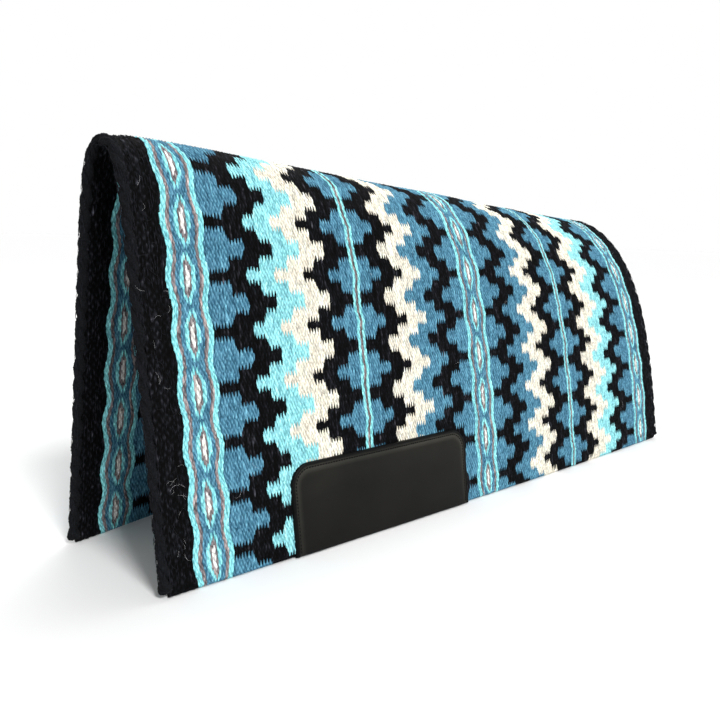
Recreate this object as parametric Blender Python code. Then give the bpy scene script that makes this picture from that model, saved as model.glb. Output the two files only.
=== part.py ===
"""Hand-woven western saddle pad, draped over its spine line and standing on its two hems.

Metres, +Z up.  Y runs along the horse's spine with the withers (the front) at -Y, X runs
across the horse with its left, near side at +X, and both hems rest on Z = 0.

The pad is one cloth: weft yarns run from hem to hem over the back, so every colour band
below is its own run of yarn.  Each band is cut where the pad folds, into a spine length and
a length in each hanging flap, because those three turn against each other.
"""
import math

import bmesh
import bpy
from mathutils import Vector

# Driving dimensions -----------------------------------------------------------------------
SPINE_LENGTH = 0.914          # 36 in along the spine, over both edge cords
OVER_BACK = 0.864             # 34 in from hem to hem over the back
CLOTH = 0.008                 # thickness of the woven wool
FLARE = math.radians(8.0)     # the hanging flaps lean out by this much
FRONT_BEND = 0.021            # arc length in which the cloth turns down at the withers
REAR_BEND = 0.112             # and at the loin, where it lies over a broad back
FOLD_AT = 0.050               # each flap starts this far from the ridge
FOLD_GAP = 0.004              # clearance at the fold, which lets the flap turn
FOLD_CREST = -0.25            # where the fold line bulges most, in half lengths from the middle
BAND_GAP = 0.0004             # between neighbouring bands of yarn

EDGE_CORD = 0.010             # diameter of the twined cord along the front and rear edge
BORDER_END = 0.033            # black border, from the edge of the pad
WAVE_STRIPE = 0.044           # width of the three wave stripes
CORD_HEM_LIFT = 0.001         # the cords stop this short of the hem

LEATHER_FRONT = 0.147         # front side of the wear leather, from the front edge
LEATHER_LENGTH = 0.265
LEATHER_HEIGHT = 0.096        # up from the hem
LEATHER_CORNER = 0.024        # radius of its two upper corners
LEATHER_THICK = 0.0022
LEATHER_GAP = 0.0005          # between the leather and the cloth under it
THREAD = 0.0010               # diameter of the seam thread
THREAD_INSET = 0.0055         # from the leather's edge
THREAD_GAP = 0.0003

# Derived sizes ----------------------------------------------------------------------------
FLAP = OVER_BACK / 2
HALF_LENGTH = SPINE_LENGTH / 2
HALF_STEP = 0.0015            # step of the profile's numerical integration
NEAR, FAR = 1, -1             # the pad's left side and right side
BLACK_WOOL = (0.012, 0.012, 0.016)
WAVE_WOOL = (0.20, 0.46, 0.58)
STEP_WOOL = (0.25, 0.33, 0.38)
BLACK_LEATHER = (0.018, 0.018, 0.017)
BLACK_THREAD = (0.010, 0.010, 0.010)

BANDS = (
    # name, start and end along the spine from the front edge, colour
    ("front_border", EDGE_CORD + BAND_GAP, BORDER_END, BLACK_WOOL),
    ("front_wave_stripe", BORDER_END, BORDER_END + WAVE_STRIPE, WAVE_WOOL),
    ("front_step_field", BORDER_END + WAVE_STRIPE, HALF_LENGTH - WAVE_STRIPE / 2, STEP_WOOL),
    ("centre_wave_stripe", HALF_LENGTH - WAVE_STRIPE / 2, HALF_LENGTH + WAVE_STRIPE / 2, WAVE_WOOL),
    ("rear_step_field", HALF_LENGTH + WAVE_STRIPE / 2,
     SPINE_LENGTH - BORDER_END - WAVE_STRIPE, STEP_WOOL),
    ("rear_wave_stripe", SPINE_LENGTH - BORDER_END - WAVE_STRIPE,
     SPINE_LENGTH - BORDER_END, WAVE_WOOL),
    ("rear_border", SPINE_LENGTH - BORDER_END, SPINE_LENGTH - EDGE_CORD - BAND_GAP, BLACK_WOOL),
)


# The draped shape -------------------------------------------------------------------------
def bend_at(y):
    """Arc length in which the cloth turns down, growing evenly from front to rear."""
    along = (y + HALF_LENGTH) / SPINE_LENGTH
    return FRONT_BEND + (REAR_BEND - FRONT_BEND) * along


def slope_at(y, s):
    """Angle below the horizontal at arc length s from the ridge."""
    bend = bend_at(y)
    full = 1 - math.exp(-FLAP / bend)
    return (math.pi / 2 - FLARE) * (1 - math.exp(-s / bend)) / full


def arc_sum(y, start, end, part):
    """Integral of part(slope) over the arc from start to end, by the midpoint rule."""
    steps = max(1, round((end - start) / HALF_STEP))
    step = (end - start) / steps
    return sum(part(slope_at(y, start + (i + 0.5) * step)) for i in range(steps)) * step


def drape(y, s, lift=0.0):
    """Point at arc length s from the ridge, positive on the near side.

    lift moves it out from the middle of the cloth.  At the hem the cloth is trimmed level.
    """
    side = NEAR if s >= 0 else FAR
    s = abs(s)
    slope = slope_at(y, s)
    x = arc_sum(y, 0, s, math.cos)
    if s >= FLAP - 1e-9:
        return (side * (x + lift / math.sin(slope)), y, 0.0)
    z = arc_sum(y, s, FLAP, math.sin)
    return (side * (x + lift * math.sin(slope)), y, z + lift * math.cos(slope))


def spread(start, end, count, power=1.0):
    """count + 1 values from start to end, closer together at the start if power is over 1."""
    return [start + (end - start) * (i / count) ** power for i in range(count + 1)]


def flap_arcs(rows):
    """Arc lengths down one flap, closest where the cloth bends most."""
    return spread(FOLD_AT + FOLD_GAP / 2, FLAP, rows, 1.35)


def spine_arcs(rows):
    """Arc lengths across the spine strip, closest at the ridge."""
    reach = FOLD_AT - FOLD_GAP / 2
    half = spread(0, reach, rows, 1.2)
    return [-s for s in reversed(half[1:])] + half


# Building helpers -------------------------------------------------------------------------
def clear_scene():
    for obj in list(bpy.data.objects):
        bpy.data.objects.remove(obj, do_unlink=True)


def make_collection(name):
    collection = bpy.data.collections.new(name)
    bpy.context.scene.collection.children.link(collection)
    return collection


def make_material(name, colour, roughness):
    material = bpy.data.materials.new(name)
    material.use_nodes = True
    shader = material.node_tree.nodes["Principled BSDF"]
    shader.inputs["Base Color"].default_value = (*colour, 1.0)
    shader.inputs["Roughness"].default_value = roughness
    shader.inputs["Metallic"].default_value = 0.0
    material.diffuse_color = (*colour, 1.0)
    return material


def add_object(name, data, material, collection, parent=None):
    data.materials.append(material)
    obj = bpy.data.objects.new(name, data)
    collection.objects.link(obj)
    if parent is not None:
        obj.parent = parent
        obj.matrix_parent_inverse = parent.matrix_world.inverted()
    return obj


def sheet_solid(name, columns, low, high, material, collection, parent=None):
    """Closed sheet lofted on the drape between two lifts.

    columns is a list of (y, arc lengths), all with the same number of arc lengths.
    """
    bm = bmesh.new()
    under = [[bm.verts.new(drape(y, s, low)) for s in arcs] for y, arcs in columns]
    over = [[bm.verts.new(drape(y, s, high)) for s in arcs] for y, arcs in columns]
    last_column = len(columns) - 1
    last_row = len(columns[0][1]) - 1
    for i in range(last_column):
        for j in range(last_row):
            bm.faces.new((over[i][j], over[i + 1][j], over[i + 1][j + 1], over[i][j + 1]))
            bm.faces.new((under[i][j], under[i][j + 1], under[i + 1][j + 1], under[i + 1][j]))
        for j in (0, last_row):
            bm.faces.new((over[i][j], under[i][j], under[i + 1][j], over[i + 1][j]))
    for j in range(last_row):
        for i in (0, last_column):
            bm.faces.new((over[i][j], over[i][j + 1], under[i][j + 1], under[i][j]))
    bmesh.ops.recalc_face_normals(bm, faces=bm.faces)
    mesh = bpy.data.meshes.new(name)
    bm.to_mesh(mesh)
    bm.free()
    mesh.shade_smooth()
    mesh.set_sharp_from_angle(angle=math.radians(40))
    return add_object(name, mesh, material, collection, parent)


def tube(name, points, diameter, material, collection, parent=None):
    """Round cord with flat ends through the given points."""
    curve = bpy.data.curves.new(name, "CURVE")
    curve.dimensions = "3D"
    curve.bevel_depth = diameter / 2
    curve.bevel_resolution = 2
    curve.use_fill_caps = True
    spline = curve.splines.new("POLY")
    spline.points.add(len(points) - 1)
    for point, place in zip(spline.points, points):
        point.co = (*place, 1.0)
    return add_object(name, curve, material, collection, parent)


def add_hinge(name, side):
    """Empty on a flap's hinge, parallel to the fold from front to rear and touching its crest."""
    front = Vector(drape(-HALF_LENGTH, side * FOLD_AT, CLOTH / 2))
    rear = Vector(drape(HALF_LENGTH, side * FOLD_AT, CLOTH / 2))
    hinge = bpy.data.objects.new(name, None)
    hinge.empty_display_size = 0.05
    hinge.location = drape(HALF_LENGTH * FOLD_CREST, side * FOLD_AT, CLOTH / 2)
    hinge.rotation_euler = (rear - front).to_track_quat("Y", "Z").to_euler()
    bpy.context.scene.collection.objects.link(hinge)
    bpy.context.view_layer.update()
    return hinge


# Sub-parts --------------------------------------------------------------------------------
def woven_bands(collection, hinges):
    """The colour bands of the cloth, each in three lengths: spine, left flap, right flap."""
    for name, start, end, colour in BANDS:
        material = make_material(name + "_wool", colour, 0.92)
        length = end - start - BAND_GAP
        steps = max(1, round(length / 0.07))
        ys = [start + BAND_GAP / 2 + length * i / steps - HALF_LENGTH for i in range(steps + 1)]
        columns = [(y, spine_arcs(5)) for y in ys]
        sheet_solid(name + "_spine", columns, -CLOTH / 2, CLOTH / 2, material, collection)
        for label, side in (("left", NEAR), ("right", FAR)):
            columns = [(y, [side * s for s in flap_arcs(9)]) for y in ys]
            sheet_solid(f"{name}_{label}", columns, -CLOTH / 2, CLOTH / 2, material,
                        collection, hinges[side])


def edge_cords(collection, hinges):
    """The thick twined cords that close the front and the rear edge."""
    material = make_material("edge_cord_wool", BLACK_WOOL, 0.9)
    for end, y in (("front", -HALF_LENGTH + EDGE_CORD / 2), ("rear", HALF_LENGTH - EDGE_CORD / 2)):
        points = [drape(y, s) for s in spine_arcs(6)]
        tube(f"{end}_edge_cord_spine", points, EDGE_CORD, material, collection)
        for label, side in (("left", NEAR), ("right", FAR)):
            arcs = spread(FOLD_AT + FOLD_GAP / 2, FLAP - CORD_HEM_LIFT, 12, 1.2)
            points = [drape(y, side * s) for s in arcs]
            tube(f"{end}_edge_cord_{label}", points, EDGE_CORD, material, collection, hinges[side])


def corner_drop(distance, radius):
    """How far a rounded corner has fallen at this distance in from the straight side."""
    if distance >= radius:
        return 0.0
    return radius - math.sqrt(radius ** 2 - (radius - distance) ** 2)


def wear_leathers(collection, hinges):
    """The leather panels at both hems that take the rub of the rider's stirrup straps."""
    material = make_material("wear_leather", BLACK_LEATHER, 0.5)
    front = LEATHER_FRONT - HALF_LENGTH
    corner = [LEATHER_CORNER * (1 - math.cos(math.radians(a))) for a in (0, 22.5, 45, 67.5, 90)]
    middle = LEATHER_LENGTH - 2 * LEATHER_CORNER
    inner = [LEATHER_CORNER + middle * i / 4 for i in range(1, 4)]
    offsets = corner + inner + [LEATHER_LENGTH - d for d in reversed(corner)]
    low = CLOTH / 2 + LEATHER_GAP
    for label, side in (("left", NEAR), ("right", FAR)):
        columns = []
        for offset in offsets:
            drop = corner_drop(min(offset, LEATHER_LENGTH - offset), LEATHER_CORNER)
            arcs = spread(FLAP - LEATHER_HEIGHT + drop, FLAP, 4)
            columns.append((front + offset, [side * s for s in arcs]))
        sheet_solid(f"{label}_wear_leather", columns, low, low + LEATHER_THICK, material,
                    collection, hinges[side])


def seam_route():
    """Offsets along the leather and heights above the hem that the seam thread follows."""
    radius = LEATHER_CORNER - THREAD_INSET
    top = LEATHER_HEIGHT - THREAD_INSET
    far_side = LEATHER_LENGTH - THREAD_INSET
    near = [(THREAD_INSET, h) for h in spread(THREAD_INSET, top - radius, 3)]
    for angle in (22.5, 45, 67.5, 90):
        turn = math.radians(angle)
        near.append((THREAD_INSET + radius * (1 - math.cos(turn)),
                     top - radius * (1 - math.sin(turn))))
    far = [(THREAD_INSET + far_side - offset, height) for offset, height in reversed(near)]
    first, last = near[-1][0], far[0][0]
    across = [(first + (last - first) * i / 4, top) for i in range(1, 4)]
    return near + across + far


def seam_threads(collection, hinges):
    """One run of heavy thread round the two sides and the top of each wear leather."""
    material = make_material("seam_thread", BLACK_THREAD, 0.6)
    lift = CLOTH / 2 + LEATHER_GAP + LEATHER_THICK + THREAD_GAP + THREAD / 2
    for label, side in (("left", NEAR), ("right", FAR)):
        points = [drape(LEATHER_FRONT - HALF_LENGTH + offset, side * (FLAP - height), lift)
                  for offset, height in seam_route()]
        tube(f"{label}_seam_thread", points, THREAD, material, collection, hinges[side])


def build():
    clear_scene()
    collection = make_collection("saddle_pad")
    hinges = {NEAR: add_hinge("left_fold", NEAR), FAR: add_hinge("right_fold", FAR)}
    woven_bands(collection, hinges)
    edge_cords(collection, hinges)
    wear_leathers(collection, hinges)
    seam_threads(collection, hinges)


build()
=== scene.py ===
import math

import bmesh
import bpy
import numpy as np
from mathutils import Matrix, Vector


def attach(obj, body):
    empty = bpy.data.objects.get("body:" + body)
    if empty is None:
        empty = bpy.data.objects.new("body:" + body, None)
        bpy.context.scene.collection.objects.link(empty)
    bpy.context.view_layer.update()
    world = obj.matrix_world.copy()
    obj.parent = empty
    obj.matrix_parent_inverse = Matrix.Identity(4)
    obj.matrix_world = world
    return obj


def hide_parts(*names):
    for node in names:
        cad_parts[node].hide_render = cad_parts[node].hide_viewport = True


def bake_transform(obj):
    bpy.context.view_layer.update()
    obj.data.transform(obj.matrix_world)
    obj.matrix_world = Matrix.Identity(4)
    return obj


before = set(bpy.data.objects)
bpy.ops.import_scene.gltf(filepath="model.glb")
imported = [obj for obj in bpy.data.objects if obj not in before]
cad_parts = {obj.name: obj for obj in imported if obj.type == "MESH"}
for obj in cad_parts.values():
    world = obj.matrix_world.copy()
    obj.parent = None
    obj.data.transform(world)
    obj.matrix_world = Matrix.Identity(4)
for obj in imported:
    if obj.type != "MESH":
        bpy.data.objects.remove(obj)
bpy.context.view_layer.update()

# Sizes of the CAD model, in metres ----------------------------------------------------------
SPINE_LENGTH = 0.914
FLAP = 0.432                   # from the ridge to each hem
CLOTH = 0.008
STEEPEST = math.radians(82.0)  # slope of the hanging flaps
FRONT_BEND = 0.021
REAR_BEND = 0.112
HALF_LENGTH = SPINE_LENGTH / 2
EDGE_CORD = 0.010
LEATHER_FRONT = 0.147
LEATHER_LENGTH = 0.265
LEATHER_HEIGHT = 0.096
LEATHER_CORNER = 0.024
LEATHER_LOW = 0.0034           # the leather is pressed a little into the wool
LEATHER_TOP = 0.0067
SEAM_INSET = 0.0055
FRONT_SAG = 0.008              # the ridge dips a little at the front edge
SAG_ALONG = 0.024              # how far the dip reaches along the ridge
SAG_DOWN = 0.05                # and down the flaps
NEAR, FAR = 1, -1
SIDES = (("left", NEAR), ("right", FAR))

# The weave ----------------------------------------------------------------------------------
PICKS = 500                    # weft yarns along the spine
PICK = SPINE_LENGTH / PICKS
WARPS = 106                    # warp ends in one flap
WARP = FLAP / WARPS
REPEAT = 13                    # warp ends in one repeat of the pattern
EYE_ROW = 6                    # the first eye, counted up from the hem
BEAD_END = 0.00105             # how deep a yarn dives at the end of each bead
BEAD_SIDE = 0.00080            # depth of the groove between two yarns
BEAD_WAIST = 0.00034           # how much a yarn narrows at the end of each bead
PAIR_GROOVE = 0.25 * BEAD_SIDE # depth between the two yarns of a pair in the borders
BORDER_PICKS = 18
HEM_ROWS = 3                   # rows of vertices that round the hem over
SHAG_TUFTS = 1500              # on each side, over both ends
FLOOR_GAP = 0.0003             # the lowest points stay this far above the floor
CLOTH_FLOOR_GAP = 0.0002
SEED = 7

# Shape of the beads: relief against the depths above, random depth in metres, and waist
# against BEAD_WAIST
BORDER_BEADS = (1.25, 0.00026, 1.5)
FIELD_BEADS = (1.0, 0.00018, 1.0)
EDGE_DEPTH_SHARE = 0.6         # random depth at the edges of a yarn, against its middle
BEAD_SHIFT = 0.00022           # random shift of a bead along the spine
WAIST_VARIETY = 0.3
# variety and upper limit of the groove depth that drives the painted groove shade of the wool
GROOVE_SHADE_VARIETY = 0.45
DEEPEST_GROOVE_SHADE = 1.5

# Unevenness of hand weaving: cells of noise along the spine and round the cloth, and its size
WARP_DRIFT = ((26, 22), 0.0011)    # warps that are not quite evenly spaced
SWELL = ((15, 12), 0.0005)         # cloth that is a little thicker here and there
WANDER = ((60, 46), 0.0005)        # yarns that wander along the spine
BEAD_DRIFT = 0.00095               # how far a single bead strays along its yarn
NOISE_GAIN = 1.6                   # brings smoothed noise back to about -1 to 1

# Yarns: sRGB colour, and how much the brightness varies from bead to bead
YARNS = (
    ((19, 20, 24), 1.1),
    ((101, 152, 176), 0.22),
    ((168, 234, 240), 0.16),
    ((162, 236, 242), 0.16),
    ((252, 244, 228), 0.16),
    ((150, 142, 144), 0.35),
    ((253, 250, 245), 0.16),
)
BLACK, STEEL, TURQUOISE, LIGHT, CREAM, GREY, WHITE = range(len(YARNS))
BEAD_TONE, YARN_TONE = 0.6, 0.4    # shares of the variation between beads and between yarns
WARMTH = 0.03                      # a brighter bead is also a little warmer

WAVE_CENTRES = (30, 250, 470)      # pick at the middle of each wave stripe
WAVE_HALF = 12                     # picks on each side of it
THIN_CENTRES = (142, 358)
THIN_HALF = 2                      # pale picks on each side of a thin stripe's grey
WAVE_SWING = 0.0021                # how far a wave stripe's yarns swing along the spine
WAVE_RISE, WAVE_RISE_POWER = 0.6, 1.5  # the swing grows from the middle, in half stripes
WAVE_HOLD, WAVE_FADE = 0.9, 0.55   # and dies away outside the stripe
THIN_JOG = 0.0019                  # how far a thin stripe steps aside at the eye rows
THIN_JOG_WARPS = 2.2
THIN_DRIFT, THIN_DRIFT_TURN = 0.0008, 0.31  # a slow wander, and its radians per row
THIN_HOLD, THIN_FADE = 3, 7        # picks that jog with it, and picks where that dies away
WOVEN_PIECES = (
    # name of the band, first pick, end pick, material slot
    ("front_border", 4, 18, "black_wool"),
    ("front_wave_stripe", 18, 42, "wave_wool"),
    ("front_step_field", 42, 238, "field_wool"),
    ("centre_wave_stripe", 238, 262, "wave_wool"),
    ("rear_step_field", 262, 458, "field_wool"),
    ("rear_wave_stripe", 458, 482, "wave_wool"),
    ("rear_border", 482, 496, "black_wool"),
)


def srgb(colour):
    """Linear value of an sRGB colour given in 0 to 255."""
    c = np.array(colour, float) / 255
    return np.where(c <= 0.04045, c / 12.92, ((c + 0.055) / 1.055) ** 2.4)


PALETTE = np.array([srgb(colour) for colour, _ in YARNS])
TONE_STRENGTH = np.array([strength for _, strength in YARNS])


# The drape ----------------------------------------------------------------------------------
ARC_STEP = 0.0005
ARC = np.linspace(0, FLAP, round(FLAP / ARC_STEP) + 1)


def profile(y):
    """Slope, x and z of the middle of the cloth at each arc length in ARC."""
    bend = FRONT_BEND + (REAR_BEND - FRONT_BEND) * (y + HALF_LENGTH) / SPINE_LENGTH
    slope = STEEPEST * (1 - np.exp(-ARC / bend)) / (1 - math.exp(-FLAP / bend))
    middle = (slope[1:] + slope[:-1]) / 2
    step = ARC[1]
    x = np.concatenate([[0], np.cumsum(np.cos(middle) * step)])
    drop = np.concatenate([[0], np.cumsum(np.sin(middle) * step)])
    return slope, x, drop[-1] - drop


def drape(y, s, lift, side):
    """Points at arc lengths s and lifts for one y; s and lift are arrays."""
    slope, x, z = profile(y)
    a = np.interp(s, ARC, slope)
    px = side * (np.interp(s, ARC, x) + lift * np.sin(a))
    sag = FRONT_SAG * math.exp(-(y + HALF_LENGTH) / SAG_ALONG) * np.exp(-s / SAG_DOWN)
    pz = np.interp(s, ARC, z) + lift * np.cos(a) - sag
    return np.stack([px, np.full(len(s), y), pz], -1)


def smooth_noise(rng, shape, cells):
    """Smooth random field with values near -1 to 1, on a grid of that shape."""
    coarse = rng.standard_normal((cells[0] + 3, cells[1] + 3))
    u = np.linspace(0, cells[0], shape[0])
    v = np.linspace(0, cells[1], shape[1])

    def weights(t):
        k = np.floor(t).astype(int)
        f = t - k
        w = [(1 - f) ** 3 / 6, (3 * f ** 3 - 6 * f ** 2 + 4) / 6,
             (-3 * f ** 3 + 3 * f ** 2 + 3 * f + 1) / 6, f ** 3 / 6]
        return k, w

    ku, wu = weights(np.minimum(u, cells[0] - 1e-9))
    kv, wv = weights(np.minimum(v, cells[1] - 1e-9))
    out = np.zeros(shape)
    for i in range(4):
        for j in range(4):
            out += np.outer(wu[i], wv[j]) * coarse[np.ix_(ku + i, kv + j)]
    return out * NOISE_GAIN


def is_border(pick):
    return pick < BORDER_PICKS or pick >= PICKS - BORDER_PICKS


def yarn_group(pick):
    """The black borders are woven with two yarns laid together."""
    return pick // 2 if is_border(pick) else pick


# The pattern --------------------------------------------------------------------------------
def eye_distance(row):
    """Distance in warps from the nearest row of eyes, for rows counted up from the hem."""
    return np.abs((row - EYE_ROW + REPEAT / 2) % REPEAT - REPEAT / 2)


EYE, GAP = 0, 1                # steps centred on the eye rows, or between them
BLOCK, FINGER = 4.5, 1.5       # half widths of the steps, in warps
FRONT_END, REAR_END, BOTH_ENDS = (1, 0), (0, 1), (1, 1)
STEPS = (
    # where it starts, centred on, half width, rounded end, its colour, the ground round it
    (0.075, GAP, BLOCK, REAR_END, STEEL, BLACK),
    (0.100, GAP, FINGER, REAR_END, STEEL, BLACK),
    (0.118, EYE, FINGER, FRONT_END, TURQUOISE, BLACK),
    (0.135, EYE, BLOCK, FRONT_END, TURQUOISE, BLACK),
    (0.152, EYE, FINGER, FRONT_END, CREAM, TURQUOISE),
    (0.169, EYE, BLOCK, FRONT_END, CREAM, TURQUOISE),
    (0.186, EYE, FINGER, FRONT_END, BLACK, CREAM),
    (0.203, EYE, BLOCK, FRONT_END, BLACK, CREAM),
    (0.220, EYE, FINGER, FRONT_END, STEEL, BLACK),
    (0.237, EYE, BLOCK, BOTH_ENDS, STEEL, BLACK),
    (0.283, EYE, FINGER, REAR_END, STEEL, BLACK),
    (0.300, GAP, FINGER, FRONT_END, CREAM, BLACK),
    (0.3165, GAP, BLOCK, FRONT_END, CREAM, BLACK),
    (0.333, GAP, FINGER, FRONT_END, STEEL, CREAM),
    (0.350, GAP, BLOCK, FRONT_END, STEEL, CREAM),
    (0.366, GAP, FINGER, FRONT_END, BLACK, STEEL),
    (0.3825, GAP, BLOCK, FRONT_END, BLACK, STEEL),
    (0.399, GAP, FINGER, FRONT_END, STEEL, BLACK),
    (0.416, GAP, BLOCK, FRONT_END, STEEL, BLACK),
)
STEP_STARTS = [step[0] for step in STEPS] + [0.440]


def field_colour(station, r):
    """Yarn colour in the stepped fields; r is the distance from the nearest eye row."""
    if station < STEP_STARTS[0]:
        return np.full(r.shape, BLACK)
    number = int(np.searchsorted(STEP_STARTS, station, side="right")) - 1
    _, centred, half, ends, inside, ground = STEPS[number]
    from_front = (station - STEP_STARTS[number]) / PICK
    from_rear = (STEP_STARTS[number + 1] - station) / PICK
    if (ends[0] and from_front < 1) or (ends[1] and from_rear < 1):
        half = half - 1
    distance = r if centred == EYE else REPEAT / 2 - r
    return np.where(distance <= half, inside, ground)


# Picks of a wave stripe from its middle outwards: how far from an eye row each colour reaches,
# in warps, and the colour between the eyes. The last line holds for all the picks beyond it.
WAVE_PICKS = (
    (((2.2, WHITE), (4.2, GREY), (5.6, LIGHT)), STEEL),
    (((3.2, GREY), (5.2, LIGHT)), STEEL),
    (((4.2, LIGHT),), STEEL),
    (((2.6, LIGHT),), STEEL),
    ((), STEEL),
    ((), STEEL),
    ((), GREY),
    ((), GREY),
    ((), LIGHT),
)


def wave_colour(step, r):
    """Yarn colour in a wave stripe, step picks out from its middle (0 is the innermost)."""
    reaches, ground = WAVE_PICKS[min(step, len(WAVE_PICKS) - 1)]
    colours = np.full(r.shape, ground)
    for reach, colour in reversed(reaches):
        colours = np.where(r < reach, colour, colours)
    return colours


def picks_out(pick, centre):
    """How many picks out from the middle of a stripe, 0 for the two innermost."""
    return pick - centre if pick >= centre else centre - 1 - pick


def pick_colour(pick, rows):
    """Palette index along one weft yarn, for beads centred on these rows above the hem."""
    r = eye_distance(rows)
    if is_border(pick):
        return np.full(r.shape, BLACK)
    for centre in WAVE_CENTRES:
        step = picks_out(pick, centre)
        if step < WAVE_HALF - 1:
            return wave_colour(step, r)
    for centre in THIN_CENTRES:
        step = picks_out(pick, centre)
        if step <= THIN_HALF:
            return np.full(r.shape, GREY if step == 0 else LIGHT)
    mirrored = min(pick, PICKS - 1 - pick)
    return field_colour((mirrored + 0.5) * PICK, r)


def sideways(pick_edge, rows):
    """How far a yarn meanders along the spine: outwards at the eye rows, inwards between."""
    r = eye_distance(rows)
    swing = np.cos(r / REPEAT * 2 * math.pi)
    out = np.zeros(rows.shape)
    for centre in WAVE_CENTRES:
        steps = (pick_edge - centre) / WAVE_HALF
        rise = (min(abs(steps), WAVE_RISE) / WAVE_RISE) ** WAVE_RISE_POWER
        fade = min(1.0, max(0.0, 1 - (abs(steps) - WAVE_HOLD) / WAVE_FADE))
        out = out + math.copysign(WAVE_SWING * rise * fade, steps) * swing
    for centre in THIN_CENTRES:
        fade = max(0.0, 1 - max(0.0, abs(pick_edge - centre) - THIN_HOLD) / THIN_FADE)
        jog = np.maximum(1 - r / THIN_JOG_WARPS, -0.5)
        drift = np.sin(rows * THIN_DRIFT_TURN + centre)
        out = out + fade * (THIN_JOG * jog + THIN_DRIFT * drift)
    return out


# Meshes -------------------------------------------------------------------------------------
def finish_mesh(name, points, faces):
    mesh = bpy.data.meshes.new(name)
    mesh.from_pydata(points, [], faces)
    mesh.update()
    surface = bmesh.new()
    surface.from_mesh(mesh)
    bmesh.ops.recalc_face_normals(surface, faces=surface.faces)
    surface.to_mesh(mesh)
    surface.free()
    mesh.shade_smooth()
    obj = bpy.data.objects.new(name, mesh)
    bpy.context.scene.collection.objects.link(obj)
    return obj


def grid_faces(rows, columns, offset=0):
    """Quads of a grid stored row by row."""
    a = (np.arange(rows - 1)[:, None] * columns + np.arange(columns - 1)[None, :]).ravel() + offset
    return np.stack([a, a + 1, a + columns + 1, a + columns], -1)


def bend_over_fold(obj):
    """Applies the object's transform to its mesh."""
    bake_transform(obj)


def woven_rows():
    """Arc length, lift sign, warp number and face side of every row, hem included."""
    radius = CLOTH / 2
    outer = [(j * WARP, 1.0, j) for j in range(WARPS)]
    hem = []
    for k in range(1, HEM_ROWS + 1):
        turn = math.pi * k / (HEM_ROWS + 1)
        hem.append((FLAP - radius + radius * math.sin(turn), math.cos(turn), WARPS))
    inner = [(j * WARP, -1.0, j) for j in reversed(range(WARPS))]
    rows = outer + hem + inner
    rows[WARPS - 1] = (FLAP - radius, 1.0, WARPS - 1)
    rows[WARPS + HEM_ROWS] = (FLAP - radius, -1.0, WARPS - 1)
    return rows


ROWS = woven_rows()
ROW_ARC, ROW_FACING, ROW_WARP = (np.array(values) for values in zip(*ROWS))
OUTSIDE = np.arange(len(ROWS)) < WARPS + 2      # rows on the outer face
FREE = (ROW_WARP > 0) & (ROW_WARP < WARPS - 1)  # rows that may stray from their place


class Unevenness:
    """Random fields that make the weaving uneven, the same for every piece of a side."""

    def __init__(self, seed):
        rng = np.random.default_rng(seed)
        shape = (2 * PICKS + 1, len(ROWS))
        self.warp_drift, self.swell, self.wander = (
            smooth_noise(rng, shape, cells) * size for cells, size in (WARP_DRIFT, SWELL, WANDER))
        self.bead = rng.standard_normal(shape)
        self.bead_along = rng.standard_normal(shape)
        self.bead_side = rng.uniform(-1, 1, shape)
        self.tone = rng.standard_normal((PICKS, WARPS * 2 + 4))
        self.yarn = rng.standard_normal(PICKS)


def dives(pick):
    """Which rows of a pick go under their warp; the inner face shows the other ones."""
    return (yarn_group(pick) + ROW_WARP + np.where(OUTSIDE, 0, 1)) % 2 == 1


def woven_column(c, depth, shift, side, uneven):
    """One column of vertices, depth below the crest and shifted along the spine."""
    stray = uneven.warp_drift[c] + BEAD_DRIFT * uneven.bead_along[c]
    along = np.clip(ROW_ARC + np.where(FREE, stray, 0), 0, FLAP)
    lift = ROW_FACING * (CLOTH / 2 - depth) + uneven.swell[c] * FREE
    points = drape(c / 2 * PICK - HALF_LENGTH, along, lift, side)
    points[:, 1] += shift
    return points


def woven_points(first, last, side, uneven):
    """Vertices of one woven piece: a column at every yarn edge and every yarn middle."""
    height = (FLAP - ROW_ARC) / WARP
    columns, grooves = [], []
    for c in range(2 * first, 2 * last + 1):
        pick = (c - 1) // 2
        is_middle = c % 2 == 1
        in_pair = is_border(pick) and c % 4 == 2
        shift = sideways(c / 2, height) + uneven.wander[c]
        relief, random_depth, waist = BORDER_BEADS if is_border(pick) else FIELD_BEADS
        if is_middle or in_pair:
            crest = PAIR_GROOVE if in_pair else 0.0
            depth = relief * np.where(dives(pick), BEAD_END, crest) + random_depth * uneven.bead[c]
            shift = shift + BEAD_SHIFT * uneven.bead_side[c]
        else:
            waist = waist * BEAD_WAIST
            depth = relief * BEAD_SIDE + EDGE_DEPTH_SHARE * random_depth * uneven.bead[c]
            pinch = np.where(dives(pick), -waist, waist)
            shift = shift + pinch * (1 + WAIST_VARIETY * uneven.bead_side[c])
        # the groove depth is kept for the wool material, which paints shade with it
        groove = depth / BEAD_END * (1 + GROOVE_SHADE_VARIETY * uneven.bead_side[c])
        grooves.append(np.clip(groove, 0, DEEPEST_GROOVE_SHADE))
        columns.append(woven_column(c, depth, shift, side, uneven))
    points = np.stack(columns, 1)
    points[:, :, 2] = np.maximum(points[:, :, 2], CLOTH_FLOOR_GAP)
    return points, np.stack(grooves, 1)


def woven_faces(rows, columns, side):
    """Quads of the cloth's surface, and the walls that close its two ends and its ridge."""
    surface = grid_faces(rows, columns)
    if side == FAR:
        surface = surface[:, ::-1]
    walls = []
    for edge in (0, columns - 1):
        for j in range(rows // 2):
            a, b = j * columns + edge, (j + 1) * columns + edge
            c, d = (rows - 2 - j) * columns + edge, (rows - 1 - j) * columns + edge
            walls.append([a, b, c, d] if b != c else [a, b, d])
    last_row = (rows - 1) * columns
    for i in range(columns - 1):
        walls.append([i, i + 1, last_row + i + 1, last_row + i])
    return surface, walls


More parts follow.
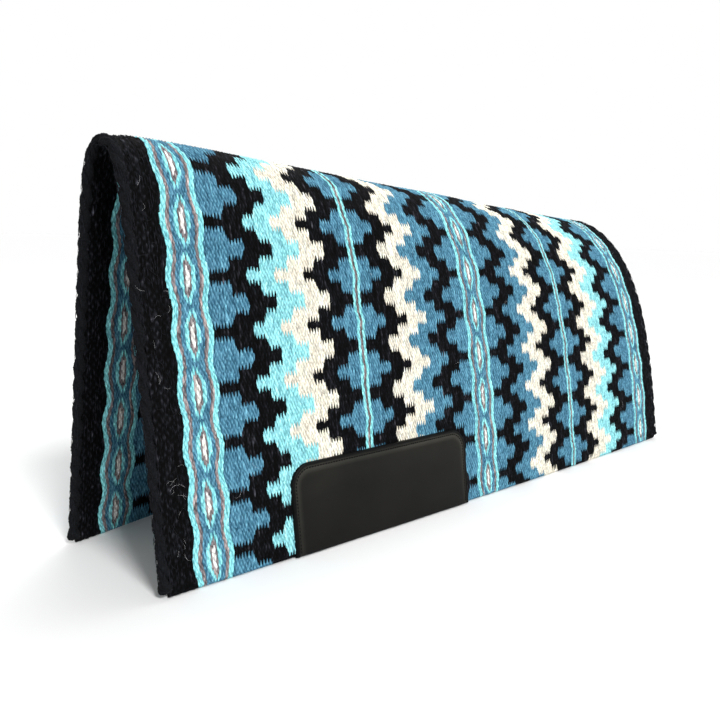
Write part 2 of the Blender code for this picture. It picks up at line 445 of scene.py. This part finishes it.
def bead_tones(first, last, uneven):
    """Palette index and brightness of every quad of a woven piece."""
    index, tone = [], []
    same = ROW_WARP[:-1] == ROW_WARP[1:]
    for pick in range(first, last):
        centre = np.where(same | ~dives(pick)[:-1], ROW_WARP[:-1], ROW_WARP[1:])
        colours = pick_colour(pick, WARPS - centre)
        shade = uneven.tone[pick][centre + np.where(OUTSIDE[:-1], 0, WARPS + 2)]
        for _ in range(2):
            index.append(colours)
            tone.append(shade * BEAD_TONE + uneven.yarn[pick] * YARN_TONE)
    return np.stack(index, 1), np.stack(tone, 1)


def colour_weave(mesh, first, last, uneven, grooves):
    """Each quad's yarn colour, black on the walls, and each vertex's depth in the grooves, which
    drives the painted groove shade.
    """
    index, tone = bead_tones(first, last, uneven)
    colour = PALETTE[index] * np.exp(TONE_STRENGTH[index][..., None] * tone[..., None])
    colour = colour * (1 + WARMTH * np.stack([tone, 0 * tone, -tone], -1))
    flat = np.ones((len(mesh.polygons), 4))
    flat[:index.size, :3] = np.clip(colour, 0, 1).reshape(-1, 3)
    flat[index.size:, :3] = PALETTE[BLACK]
    attribute = mesh.attributes.new("wool", "FLOAT_COLOR", "FACE")
    attribute.data.foreach_set("color", flat.astype(np.float32).ravel())
    attribute = mesh.attributes.new("groove", "FLOAT", "POINT")
    attribute.data.foreach_set("value", grooves.astype(np.float32).ravel())


HEM_UV_STEP = 0.0008           # added to each row's width, so that no quad is flat in the map
BAKE_SIZE, BAKE_MARGIN = 0.98, 0.01
WALL_UV = 0.999                # all walls lie in one corner of the map


def unwrap_weave(mesh, rows, columns, surface):
    """The map "weave" is in metres of cloth, and "OFBake" is the same scaled to fill a square."""
    path = np.concatenate([[0], np.cumsum(np.abs(np.diff(ROW_ARC)) + HEM_UV_STEP)])
    along = np.repeat(path[:, None], columns, 1)
    across = np.repeat((np.arange(columns) * PICK / 2)[None, :], rows, 0)
    loops = np.zeros(len(mesh.loops), int)
    mesh.loops.foreach_get("vertex_index", loops)
    loops = loops[:surface.size]
    for layer, u, v in (("weave", across, along),
                        ("OFBake", across / across.max() * BAKE_SIZE + BAKE_MARGIN,
                         along / along.max() * BAKE_SIZE + BAKE_MARGIN)):
        uv = np.full((len(mesh.loops), 2), WALL_UV)
        uv[:len(loops), 0] = u.ravel()[loops]
        uv[:len(loops), 1] = v.ravel()[loops]
        mesh.uv_layers.new(name=layer).data.foreach_set("uv", uv.astype(np.float32).ravel())


def woven_piece(name, first, last, side, uneven, material):
    points, grooves = woven_points(first, last, side, uneven)
    rows, columns = points.shape[:2]
    surface, walls = woven_faces(rows, columns, side)
    obj = finish_mesh(name, points.reshape(-1, 3), surface.tolist() + walls)
    colour_weave(obj.data, first, last, uneven, grooves)
    unwrap_weave(obj.data, rows, columns, surface)
    obj.data.materials.append(material)
    return obj


# Materials ----------------------------------------------------------------------------------
def new_material(name):
    material = bpy.data.materials.new(name)
    material.use_nodes = True
    return material, material.node_tree.nodes, material.node_tree.links


def add_noise(nodes, links, vector, scale, detail, roughness=0.5):
    noise = nodes.new("ShaderNodeTexNoise")
    noise.inputs["Scale"].default_value = scale
    noise.inputs["Detail"].default_value = detail
    noise.inputs["Roughness"].default_value = roughness
    links.new(vector, noise.inputs["Vector"])
    return noise.outputs["Fac"]


def stretched(nodes, links, vector, scale):
    mapping = nodes.new("ShaderNodeMapping")
    mapping.inputs["Scale"].default_value = scale
    links.new(vector, mapping.inputs["Vector"])
    return mapping.outputs["Vector"]


NOISE_RANGE = (0.25, 0.75)     # where most of a noise texture's values lie


def remap(nodes, links, value, low, high, source=NOISE_RANGE):
    """The value brought from its source range to the range from low to high."""
    node = nodes.new("ShaderNodeMapRange")
    node.inputs["From Min"].default_value = source[0]
    node.inputs["From Max"].default_value = source[1]
    node.inputs["To Min"].default_value = low
    node.inputs["To Max"].default_value = high
    links.new(value, node.inputs["Value"])
    return node.outputs["Result"]


def scaled_colour(nodes, links, colour, factor):
    node = nodes.new("ShaderNodeVectorMath")
    node.operation = "SCALE"
    links.new(colour, node.inputs[0])
    links.new(factor, node.inputs["Scale"])
    return node.outputs["Vector"]


def mixed_colour(nodes, links, first, second, factor):
    """A mix of two linear colours."""
    node = nodes.new("ShaderNodeMix")
    node.data_type = "RGBA"
    node.inputs["A"].default_value = (*first, 1)
    node.inputs["B"].default_value = (*second, 1)
    links.new(factor, node.inputs["Factor"])
    return node.outputs["Result"]


def attribute_node(nodes, name):
    node = nodes.new("ShaderNodeAttribute")
    node.attribute_name = name
    return node


def add_bump(nodes, links, height, strength, distance, normal=None):
    bump = nodes.new("ShaderNodeBump")
    bump.inputs["Strength"].default_value = strength
    bump.inputs["Distance"].default_value = distance
    links.new(height, bump.inputs["Height"])
    if normal is not None:
        links.new(normal, bump.inputs["Normal"])
    return bump.outputs["Normal"]


def set_wool_sheen(shader, specular):
    shader.inputs["Sheen Weight"].default_value = 0.01
    shader.inputs["Sheen Roughness"].default_value = 0.4
    shader.inputs["Specular IOR Level"].default_value = specular


def woven_wool():
    """Yarn laid in a weave: streaks along the yarn, and painted shade in the grooves that makes
    their colour darker and stronger.
    """
    material, nodes, links = new_material("woven_wool")
    shader = nodes["Principled BSDF"]
    place = nodes.new("ShaderNodeUVMap")
    place.uv_map = "weave"
    along_yarn = stretched(nodes, links, place.outputs["UV"], (1, 0.28, 1))
    streaks = add_noise(nodes, links, along_yarn, 1050, 4, 0.65)
    blotches = add_noise(nodes, links, place.outputs["UV"], 55, 3)
    groove = attribute_node(nodes, "groove").outputs["Fac"]
    colour = attribute_node(nodes, "wool").outputs["Color"]
    colour = scaled_colour(nodes, links, colour, remap(nodes, links, streaks, 0.58, 1.36))
    colour = scaled_colour(nodes, links, colour, remap(nodes, links, blotches, 0.94, 1.05))
    # painted shade in the grooves: the colour grows stronger and darker with the groove depth
    stronger = nodes.new("ShaderNodeGamma")
    links.new(colour, stronger.inputs["Color"])
    links.new(remap(nodes, links, groove, 0.90, 1.45, (0, 1)), stronger.inputs["Gamma"])
    shade = remap(nodes, links, groove, 1.24, 0.55, (0, 1))
    colour = scaled_colour(nodes, links, stronger.outputs["Color"], shade)
    links.new(colour, shader.inputs["Base Color"])
    links.new(remap(nodes, links, streaks, 0.85, 0.58), shader.inputs["Roughness"])
    links.new(add_bump(nodes, links, streaks, 0.55, 0.0006), shader.inputs["Normal"])
    set_wool_sheen(shader, 0.07)
    return material


def spun_wool(name, colour, scale=1600):
    """Plain wool for the cords, tufts and stray fibres, mottled by noise in space."""
    material, nodes, links = new_material(name)
    shader = nodes["Principled BSDF"]
    place = nodes.new("ShaderNodeTexCoord").outputs["Object"]
    fine = add_noise(nodes, links, place, scale, 3, 0.6)
    broad = add_noise(nodes, links, place, 60, 2)
    dark, bright = srgb(colour) * 0.35, np.minimum(srgb(colour) * 2.0, 1)
    base = mixed_colour(nodes, links, dark, bright, remap(nodes, links, fine, 0, 1))
    base = scaled_colour(nodes, links, base, remap(nodes, links, broad, 0.9, 1.1))
    links.new(base, shader.inputs["Base Color"])
    links.new(remap(nodes, links, fine, 0.98, 0.8), shader.inputs["Roughness"])
    links.new(add_bump(nodes, links, fine, 0.6, 0.0006), shader.inputs["Normal"])
    set_wool_sheen(shader, 0.10)
    return material


def black_leather():
    """Smooth harness leather: fine grain, faint scuffs, and a factor from the rim attribute: a
    dark rim, a painted highlight in the seam's groove, and a painted paler top.
    """
    material, nodes, links = new_material("black_leather")
    shader = nodes["Principled BSDF"]
    place = nodes.new("ShaderNodeTexCoord").outputs["Object"]
    broad = add_noise(nodes, links, place, 14, 4)
    scuffs = add_noise(nodes, links, stretched(nodes, links, place, (1, 0.35, 1)), 110, 5, 0.65)
    grain = nodes.new("ShaderNodeTexVoronoi")
    grain.feature = "DISTANCE_TO_EDGE"
    grain.inputs["Scale"].default_value = 900
    links.new(place, grain.inputs["Vector"])
    base = mixed_colour(nodes, links, srgb((15, 15, 13)), srgb((25, 24, 21)),
                        remap(nodes, links, broad, 0, 1))
    base = scaled_colour(nodes, links, base, remap(nodes, links, scuffs, 0.86, 1.14))
    # the rim factor paints light: a highlight in the seam's groove and a paler top
    base = scaled_colour(nodes, links, base, attribute_node(nodes, "rim").outputs["Fac"])
    links.new(base, shader.inputs["Base Color"])
    links.new(remap(nodes, links, scuffs, 0.42, 0.58), shader.inputs["Roughness"])
    grain_bump = add_bump(nodes, links, grain.outputs["Distance"], 0.25, 0.0003)
    bump = add_bump(nodes, links, scuffs, 0.12, 0.0006, grain_bump)
    links.new(bump, shader.inputs["Normal"])
    shader.inputs["Specular IOR Level"].default_value = 0.12
    return material


def waxed_thread():
    material, nodes, links = new_material("waxed_thread")
    shader = nodes["Principled BSDF"]
    place = nodes.new("ShaderNodeTexCoord").outputs["Object"]
    fine = add_noise(nodes, links, place, 2400, 2)
    base = mixed_colour(nodes, links, srgb((5, 5, 5)), srgb((14, 14, 14)), fine)
    links.new(base, shader.inputs["Base Color"])
    links.new(add_bump(nodes, links, fine, 0.4, 0.0003), shader.inputs["Normal"])
    shader.inputs["Roughness"].default_value = 0.6
    shader.inputs["Specular IOR Level"].default_value = 0.15
    return material


# Pieces -------------------------------------------------------------------------------------
def build_weave():
    material = woven_wool()
    for number, (label, side) in enumerate(SIDES):
        uneven = Unevenness(SEED + number)
        for name, first, last, slot in WOVEN_PIECES:
            piece = woven_piece(f"woven_{name}_{label}", first, last, side, uneven, material)
            bend_over_fold(piece)
            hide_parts(f"{name}_{label}", f"{name}_spine")


def strand_tube(centres, radius, sides, frames):
    """Points of a round strand; centres (n, 3), radius (n,), frames two (n, 3) unit axes."""
    angle = np.linspace(0, 2 * math.pi, sides, endpoint=False)
    ring = np.cos(angle)[None, :, None] * frames[0][:, None] \
        + np.sin(angle)[None, :, None] * frames[1][:, None]
    return centres[:, None] + ring * radius[:, None, None]


def tube_faces(rings, sides, offset, flip):
    faces = []
    for i in range(rings - 1):
        for k in range(sides):
            a = offset + i * sides + k
            b = offset + i * sides + (k + 1) % sides
            faces.append([a, b, b + sides, a + sides])
    faces.append([offset + k for k in reversed(range(sides))])
    faces.append([offset + (rings - 1) * sides + k for k in range(sides)])
    return [f[::-1] for f in faces] if flip else faces


CORD_LENGTH = FLAP - 0.0045    # the cord stops a little short of the hem
CORD_RINGS, CORD_SIDES = 340, 32
PLY_TURN = 0.042               # length in which the two plies turn once round each other
PLY_OFFSET = 0.0017            # from the cord's middle to a ply's middle
PLY_RADIUS, PLY_SWELL = 0.0036, 0.00030
YARNS_IN_PLY = 5
YARN_TURN = 0.011
YARN_RELIEF, YARN_SINK = 0.0009, 0.0007
CORD_ROUGHNESS = 0.00022
KNOT_LENGTH, KNOT_SWELL = 0.020, 0.30
TIP_LENGTH, TIP_TAPER = 0.004, 0.75


def edge_cord(name, y, side, seed, material):
    """Two-ply twined cord along the front or rear edge, from the ridge to one hem."""
    rng = np.random.default_rng(seed)
    s = np.linspace(0, CORD_LENGTH, CORD_RINGS)
    middle = drape(y, s, np.zeros(len(s)), side)
    out = drape(y, s, np.full(len(s), 0.001), side) - middle
    out /= np.linalg.norm(out, axis=1)[:, None]
    along_y = np.repeat([[0.0, 1.0, 0.0]], len(s), 0)
    wobble = np.interp(s, np.linspace(0, FLAP, 14), rng.uniform(-0.5, 0.5, 14))
    points, faces = [], []
    for ply in range(2):
        turn = side * (s / PLY_TURN * 2 * math.pi + wobble) + ply * math.pi
        offset = np.cos(turn)[:, None] * out + np.sin(turn)[:, None] * along_y
        centre = middle + PLY_OFFSET * offset
        swell = np.interp(s, np.linspace(0, FLAP, 70), rng.standard_normal(70))
        knot = np.clip(1 - (CORD_LENGTH - s) / KNOT_LENGTH, 0, 1)
        radius = (PLY_RADIUS + PLY_SWELL * swell) * (1 + KNOT_SWELL * knot * knot * (3 - 2 * knot))
        tip = np.clip((CORD_LENGTH - s) / TIP_LENGTH, 0, 1)
        radius = radius * np.sqrt(1 - (1 - tip) ** 2 * TIP_TAPER)
        ring = strand_tube(centre, radius, CORD_SIDES, (out, along_y))
        angle = np.linspace(0, 2 * math.pi, CORD_SIDES, endpoint=False)
        twist = angle[None, :] * YARNS_IN_PLY - side * s[:, None] / YARN_TURN * 2 * math.pi
        relief = YARN_RELIEF * np.sqrt(np.abs(np.sin(twist / 2))) - YARN_SINK
        relief = relief + CORD_ROUGHNESS * rng.standard_normal(relief.shape)
        direction = ring - centre[:, None]
        direction /= np.linalg.norm(direction, axis=2)[..., None]
        ring = ring + direction * relief[..., None]
        faces += tube_faces(len(s), CORD_SIDES, ply * len(s) * CORD_SIDES, flip=side == NEAR)
        points.append(ring.reshape(-1, 3))
    points = np.concatenate(points)
    points[:, 2] = np.maximum(points[:, 2], FLOOR_GAP)
    obj = finish_mesh(name, points, faces)
    obj.data.materials.append(material)
    bend_over_fold(obj)
    return obj


def build_edge_cords():
    material = spun_wool("edge_cord_wool", (15, 16, 19), 620)
    for n, (end, y) in enumerate((("front", -HALF_LENGTH + EDGE_CORD / 2),
                                  ("rear", HALF_LENGTH - EDGE_CORD / 2))):
        for m, (label, side) in enumerate(SIDES):
            name = f"twined_{end}_edge_{label}"
            cord = edge_cord(name, y, side, SEED + 10 + 2 * n + m, material)
            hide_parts(f"{end}_edge_cord_{label}", f"{end}_edge_cord_spine")


def rim_distance(offset, height):
    """Distance in from the leather's two sides and top."""
    to_side = np.minimum(offset, LEATHER_LENGTH - offset)
    to_top = LEATHER_HEIGHT - height
    plain = np.minimum(to_side, to_top)
    in_corner = (to_side < LEATHER_CORNER) & (to_top < LEATHER_CORNER)
    corner = LEATHER_CORNER - np.hypot(LEATHER_CORNER - to_side, LEATHER_CORNER - to_top)
    return np.where(in_corner, corner, plain)


def crowded(start, end, edge, fine, coarse):
    """Values from start to end, fine steps within edge of both ends and coarse between."""
    a = np.arange(start, start + edge, fine)
    b = np.linspace(start + edge, end - edge, max(2, round((end - start - 2 * edge) / coarse)))
    c = end - a[::-1]
    return np.concatenate([a, b, c])


RIM_ROUND = 0.0012             # radius of the leather's rounded rim
LEATHER_EDGE = 0.0004          # thickness left at the rim
TOP_GAP = 0.0006               # the flat of the leather lies this much below its highest point
ROLL_HEIGHT, ROLL_INSET, ROLL_WIDTH = 0.0008, 0.0022, 0.0013   # the raised roll along the rim
SEAM_DEPTH, SEAM_WIDTH = 0.00045, 0.0008                       # the groove that the thread lies in
PUFF_HEIGHT, PUFF_REACH = 0.0004, 0.012                        # the leather rises inside the seam
HEM_SIDE_HEIGHT = 0.35         # share of the thickness that is left at the hem
LEATHER_WAVE = 0.00022


def leather_lift(d, height, rng):
    """Height of the leather's top face above the middle of the cloth, d in from its rim."""
    near_hem = np.minimum(height, RIM_ROUND) / RIM_ROUND
    rounded = np.sqrt(1 - (1 - np.clip(d / RIM_ROUND, 0, 1)) ** 2)
    rounded *= HEM_SIDE_HEIGHT + (1 - HEM_SIDE_HEIGHT) * np.sqrt(1 - (1 - near_hem) ** 2)
    body = LEATHER_TOP - LEATHER_LOW - TOP_GAP
    roll = ROLL_HEIGHT * np.exp(-((d - ROLL_INSET) / ROLL_WIDTH) ** 2)
    groove = SEAM_DEPTH * np.exp(-((d - SEAM_INSET) / SEAM_WIDTH) ** 2)
    puff = PUFF_HEIGHT * np.clip((d - SEAM_INSET) / PUFF_REACH, 0, 1)
    wave = smooth_noise(rng, height.shape, (5, 9)) * LEATHER_WAVE
    return LEATHER_LOW + LEATHER_EDGE + (body + roll + wave) * rounded - groove + puff


def leather_panel(name, side, material):
    rng = np.random.default_rng(SEED + 30 + side)
    heights = crowded(0, LEATHER_HEIGHT, 0.009, 0.0006, 0.003)
    shares = crowded(0, 1, 0.034, 0.0023, 0.012)
    drop = np.clip(heights - (LEATHER_HEIGHT - LEATHER_CORNER), 0, LEATHER_CORNER)
    inset = LEATHER_CORNER - np.sqrt(LEATHER_CORNER ** 2 - drop ** 2)
    offset = inset[:, None] + shares[None, :] * (LEATHER_LENGTH - 2 * inset[:, None])
    height = np.repeat(heights[:, None], len(shares), 1)
    d = np.maximum(rim_distance(offset, height), 0)
    lift = leather_lift(d, height, rng)
    rows, columns = height.shape
    top, under = np.zeros((rows, columns, 3)), np.zeros((rows, columns, 3))
    y = LEATHER_FRONT - HALF_LENGTH + offset
    for i, j in np.ndindex(rows, columns):
        s = np.full(2, FLAP - height[i, j])
        top[i, j], under[i, j] = drape(y[i, j], s, np.array([lift[i, j], LEATHER_LOW]), side)
    points = np.concatenate([top.reshape(-1, 3), under.reshape(-1, 3)])
    points[:, 2] = np.maximum(points[:, 2], FLOOR_GAP)
    size = rows * columns
    faces = grid_faces(rows, columns).tolist() + grid_faces(rows, columns, size)[:, ::-1].tolist()
    rim = [(0, j) for j in range(columns)] + [(i, columns - 1) for i in range(1, rows)]
    rim += [(rows - 1, j) for j in reversed(range(columns - 1))]
    rim += [(i, 0) for i in reversed(range(1, rows - 1))]
    for (i0, j0), (i1, j1) in zip(rim, rim[1:] + rim[:1]):
        a, b = i0 * columns + j0, i1 * columns + j1
        faces.append([b, a, a + size, b + size])
    if side == FAR:
        faces = [f[::-1] for f in faces]
    obj = finish_mesh(name, points, faces)
    # the roll is nearly black, a painted highlight lightens the seam's groove, and painted light
    # makes the top paler than the hem
    shade = np.interp(d, [0, 0.0034, 0.0044, 0.0066, 0.012], [0.15, 0.2, 3.4, 3.4, 1.0])
    shade *= np.interp(height, [0, 0.055, 0.088], [0.62, 0.9, 1.45])
    attribute = obj.data.attributes.new("rim", "FLOAT", "POINT")
    attribute.data.foreach_set("value", np.tile(shade.ravel(), 2).astype(np.float32))
    obj.data.materials.append(material)
    return obj


DRAPE_SECTIONS = 220
STITCH_PITCH = 0.0036
STITCH_HALF = 0.00135
STITCH_SLANT = (0.985, 0.17)   # cosine and sine of a stitch's slant across the seam
THREAD_RADIUS = 0.00074
THREAD_SINK, STITCH_DIVE = 0.0001, 0.0006
SEAM_START = 0.003             # height of the first stitch above the hem
SEAM_LOOK = 0.0004             # half the stretch that the seam's direction is read over


def seam_path(count):
    """Evenly spaced offsets and heights of the seam, with its direction, hem to hem."""
    radius = LEATHER_CORNER - SEAM_INSET
    top = LEATHER_HEIGHT - SEAM_INSET
    right = LEATHER_LENGTH - SEAM_INSET
    turns = np.radians(np.linspace(0, 90, 24))
    first = [(SEAM_INSET, SEAM_START)]
    first += [(SEAM_INSET + radius * (1 - math.cos(t)), top - radius * (1 - math.sin(t)))
              for t in turns]
    second = [(right + SEAM_INSET - a, h) for a, h in reversed(first)]
    route = np.array(first + second)
    length = np.concatenate([[0], np.cumsum(np.linalg.norm(np.diff(route, axis=0), axis=1))])
    at = (np.arange(count) + 0.5) / count * length[-1]
    centre = np.stack([np.interp(at, length, route[:, k]) for k in range(2)], -1)
    ahead = np.stack([np.interp(at + SEAM_LOOK, length, route[:, k]) for k in range(2)], -1)
    back = np.stack([np.interp(at - SEAM_LOOK, length, route[:, k]) for k in range(2)], -1)
    way = ahead - back
    return centre, way / np.linalg.norm(way, axis=1)[:, None], length[-1]


def seam_stitches(name, side, material):
    """One short thread for every stitch, dipping into the leather at both ends."""
    _, _, length = seam_path(10)
    centres, ways, _ = seam_path(round(length / STITCH_PITCH))
    cosine, sine = STITCH_SLANT
    sides = 8
    steps = np.linspace(-1, 1, 7)
    angle = np.linspace(0, 2 * math.pi, sides, endpoint=False)
    points, faces = [], []
    for centre, way in zip(centres, ways):
        slant = np.array([way[0] * cosine - way[1] * sine, way[1] * cosine + way[0] * sine])
        across = np.array([-slant[1], slant[0]])
        for t in steps:
            radius = THREAD_RADIUS * math.sqrt(max(0.05, 1 - t ** 4))
            raised = LEATHER_TOP - THREAD_SINK - STITCH_DIVE * t ** 4
            for a in angle:
                flat = centre + slant * t * STITCH_HALF + across * radius * math.cos(a)
                lift = raised + radius * math.sin(a)
                y = LEATHER_FRONT - HALF_LENGTH + flat[0]
                points.append((y, FLAP - flat[1], lift))
        offset = len(points) - len(steps) * sides
        faces += tube_faces(len(steps), sides, offset, flip=side == FAR)
    points = np.array(points)
    placed = np.zeros((len(points), 3))
    # points that lie close together along the spine share one section of the drape
    order = np.argsort(points[:, 0])
    for chunk in np.array_split(order, DRAPE_SECTIONS):
        y = points[chunk, 0].mean()
        placed[chunk] = drape(y, points[chunk, 1], points[chunk, 2], side)
        placed[chunk, 1] = points[chunk, 0]
    obj = finish_mesh(name, placed, faces)
    obj.data.materials.append(material)
    return obj


def build_leathers():
    leather, thread = black_leather(), waxed_thread()
    for label, side in SIDES:
        panel = leather_panel(f"{label}_leather_panel", side, leather)
        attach(panel, label + "_flap")
        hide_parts(f"{label}_wear_leather")
        stitches = seam_stitches(f"{label}_seam_stitches", side, thread)
        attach(stitches, label + "_flap")
        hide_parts(f"{label}_seam_thread")


class Strands:
    """Many thin tapered tubes gathered in one mesh."""

    def __init__(self):
        self.points, self.faces = [], []

    def add(self, centre, radius):
        steps = np.linspace(0.06, 0.94, len(centre))
        ahead = np.gradient(centre, axis=0)
        ahead /= np.linalg.norm(ahead, axis=1)[:, None]
        across = np.cross(ahead, [0.3, 0.2, 0.93])
        across /= np.linalg.norm(across, axis=1)[:, None] + 1e-9
        size = radius * np.sin(steps * math.pi) ** 0.5
        ring = strand_tube(centre, size, 4, (across, np.cross(ahead, across)))
        self.faces += tube_faces(len(centre), 4, len(self.points), flip=False)
        self.points += ring.reshape(-1, 3).tolist()

    def finish(self, name, material):
        points = np.array(self.points)
        points[:, 2] = np.maximum(points[:, 2], FLOOR_GAP)
        obj = finish_mesh(name, points, self.faces)
        obj.data.materials.append(material)
        bend_over_fold(obj)


def build_fibres():
    """Stray wool fibres that stand off the cloth, many of them on the front border."""
    kinds = (
        # name, how many on a side, material, radius, share on the front border
        ("pale", 60, spun_wool("pale_fibre", (186, 186, 190)), 0.00006, 0.45),
        ("dark", 120, spun_wool("dark_fibre", (40, 40, 44)), 0.00010, 0.3),
    )
    for m, (label, side) in enumerate(SIDES):
        rng = np.random.default_rng(SEED + 50 + m)
        for name, count, material, radius, border_share in kinds:
            strands = Strands()
            for _ in range(count):
                on_border = rng.random() < border_share
                station = rng.uniform(0.012, 0.035) if on_border else rng.uniform(0.03, 0.90)
                s0 = rng.uniform(0.01, FLAP - 0.02)
                length = rng.uniform(0.004, 0.014)
                t = np.linspace(0, 1, 7)
                way = rng.uniform(0, 2 * math.pi) + rng.uniform(-2.6, 2.6) * t
                du = np.concatenate([[0], np.cumsum(np.cos(way[1:]))]) * length / 6
                dv = np.concatenate([[0], np.cumsum(np.sin(way[1:]))]) * length / 6
                lift = CLOTH / 2 + 0.0002 + rng.uniform(0.0004, 0.0016) * np.sin(t * math.pi)
                y = station - HALF_LENGTH
                centre = drape(y + du.mean(), np.clip(s0 + dv, 0, FLAP - 0.004), lift, side)
                centre[:, 1] = y + du
                strands.add(centre, radius)
            strands.finish(f"{name}_fibres_{label}", material)


TUFT_BOW = 0.0006              # how far the middle of a tuft stands off
TUFT_SINK = 0.0005
CORD_REACH = 0.0047            # from a cord's middle to the tufts on it


def build_shag():
    """Coarse tufts of black yarn lying along the cords and the black borders."""
    material = spun_wool("shaggy_wool", (26, 27, 32), 420)
    for m, (label, side) in enumerate(SIDES):
        rng = np.random.default_rng(SEED + 70 + m)
        strands = Strands()
        for n in range(SHAG_TUFTS):
            end = -1 if n % 2 == 0 else 1
            length = rng.uniform(0.005, 0.010)
            t = np.linspace(0, 1, 5)
            s = rng.uniform(0, FLAP - 0.006 - length) + length * t
            bow = np.sin(t * math.pi)
            lean = rng.uniform(-0.0012, 0.0012) * (t - 0.5)
            if rng.random() < 0.5:
                turn = math.radians(rng.uniform(-160, 90))
                reach = CORD_REACH + TUFT_BOW * bow
                lift = reach * math.cos(turn)
                inward = EDGE_CORD / 2 + reach * math.sin(turn)
            else:
                outside = 1 if rng.random() < 0.75 else -1
                lift = outside * (CLOTH / 2 - TUFT_SINK + TUFT_BOW * bow)
                inward = rng.uniform(0.0105, 0.0325) + 0 * t
            y = end * (HALF_LENGTH - inward)
            centre = drape(y.mean(), s, lift, side)
            centre[:, 1] = y + lean
            strands.add(centre, rng.uniform(0.00022, 0.00038))
        strands.finish(f"border_shag_{label}", material)


# Studio -------------------------------------------------------------------------------------
CAMERA_AZIMUTH, CAMERA_ELEVATION, CAMERA_ROLL = (math.radians(a) for a in (41.93, 9.62, 1.53))
CAMERA_DISTANCE = 0.9611
CAMERA_TARGET = Vector((0, -0.1012, 0.1703))
CAMERA_LENS = 37.24
BACKDROP_WAY = (-0.668, 0.744, 0)      # the studio is brightest behind the pad
BACKDROP_BOUNDS = (0.3, 0.75)
SIDE_LIGHT, BACKDROP_LIGHT = 0.42, 1.0
FLOOR_COLOUR = (0.92, 0.92, 0.92, 1)
SUN_WAY = (-0.74, 0.18, -0.66)


def add_camera():
    azimuth, elevation, roll = CAMERA_AZIMUTH, CAMERA_ELEVATION, CAMERA_ROLL
    back = Vector((math.sin(azimuth) * math.cos(elevation),
                   -math.cos(azimuth) * math.cos(elevation), math.sin(elevation)))
    right = Vector((math.cos(azimuth), math.sin(azimuth), 0))
    up = back.cross(right)
    tilted_right = right * math.cos(roll) + up * math.sin(roll)
    tilted_up = up * math.cos(roll) - right * math.sin(roll)
    data = bpy.data.cameras.new("camera")
    data.sensor_width = 36
    data.lens = CAMERA_LENS
    data.clip_start, data.clip_end = 0.01, 50
    camera = bpy.data.objects.new("camera", data)
    axes = Matrix((tilted_right, tilted_up, back)).transposed()
    place = CAMERA_TARGET + back * CAMERA_DISTANCE
    camera.matrix_world = Matrix.Translation(place) @ axes.to_4x4()
    bpy.context.scene.collection.objects.link(camera)
    bpy.context.scene.camera = camera


def add_area_light(name, place, look_at, size, power):
    data = bpy.data.lights.new(name, "AREA")
    data.shape = "DISK"
    data.size = size
    data.energy = power
    light = bpy.data.objects.new(name, data)
    light.location = place
    direction = Vector(look_at) - Vector(place)
    light.rotation_euler = direction.to_track_quat("-Z", "Y").to_euler()
    bpy.context.scene.collection.objects.link(light)


def build_studio():
    world = bpy.data.worlds.new("studio")
    world.use_nodes = True
    nodes, links = world.node_tree.nodes, world.node_tree.links
    background = nodes["Background"]
    background.inputs["Color"].default_value = (1, 1, 1, 1)
    facing = nodes.new("ShaderNodeVectorMath")
    facing.operation = "DOT_PRODUCT"
    facing.inputs[1].default_value = BACKDROP_WAY
    links.new(nodes.new("ShaderNodeTexCoord").outputs["Generated"], facing.inputs[0])
    strength = remap(nodes, links, facing.outputs["Value"], SIDE_LIGHT, BACKDROP_LIGHT,
                     BACKDROP_BOUNDS)
    links.new(strength, background.inputs["Strength"])
    bpy.context.scene.world = world
    bpy.context.scene.view_settings.view_transform = "Standard"

    bpy.ops.mesh.primitive_plane_add(size=60, location=(0, 0, -0.0004))
    floor = bpy.context.object
    floor.name = "floor"
    material, nodes, _ = new_material("pale_floor")
    shader = nodes["Principled BSDF"]
    shader.inputs["Base Color"].default_value = FLOOR_COLOUR
    shader.inputs["Roughness"].default_value = 0.9
    floor.data.materials.append(material)

    key = bpy.data.lights.new("key", "SUN")
    key.energy = 2.7
    key.angle = math.radians(16)
    lamp = bpy.data.objects.new("key", key)
    lamp.rotation_euler = Vector(SUN_WAY).to_track_quat("-Z", "Y").to_euler()
    bpy.context.scene.collection.objects.link(lamp)
    add_area_light("top", (-0.4, 0.6, 2.8), (0, 0, 0.2), 1.6, 26)


build_studio()
add_camera()
build_weave()
build_edge_cords()
build_leathers()
build_fibres()
build_shag()
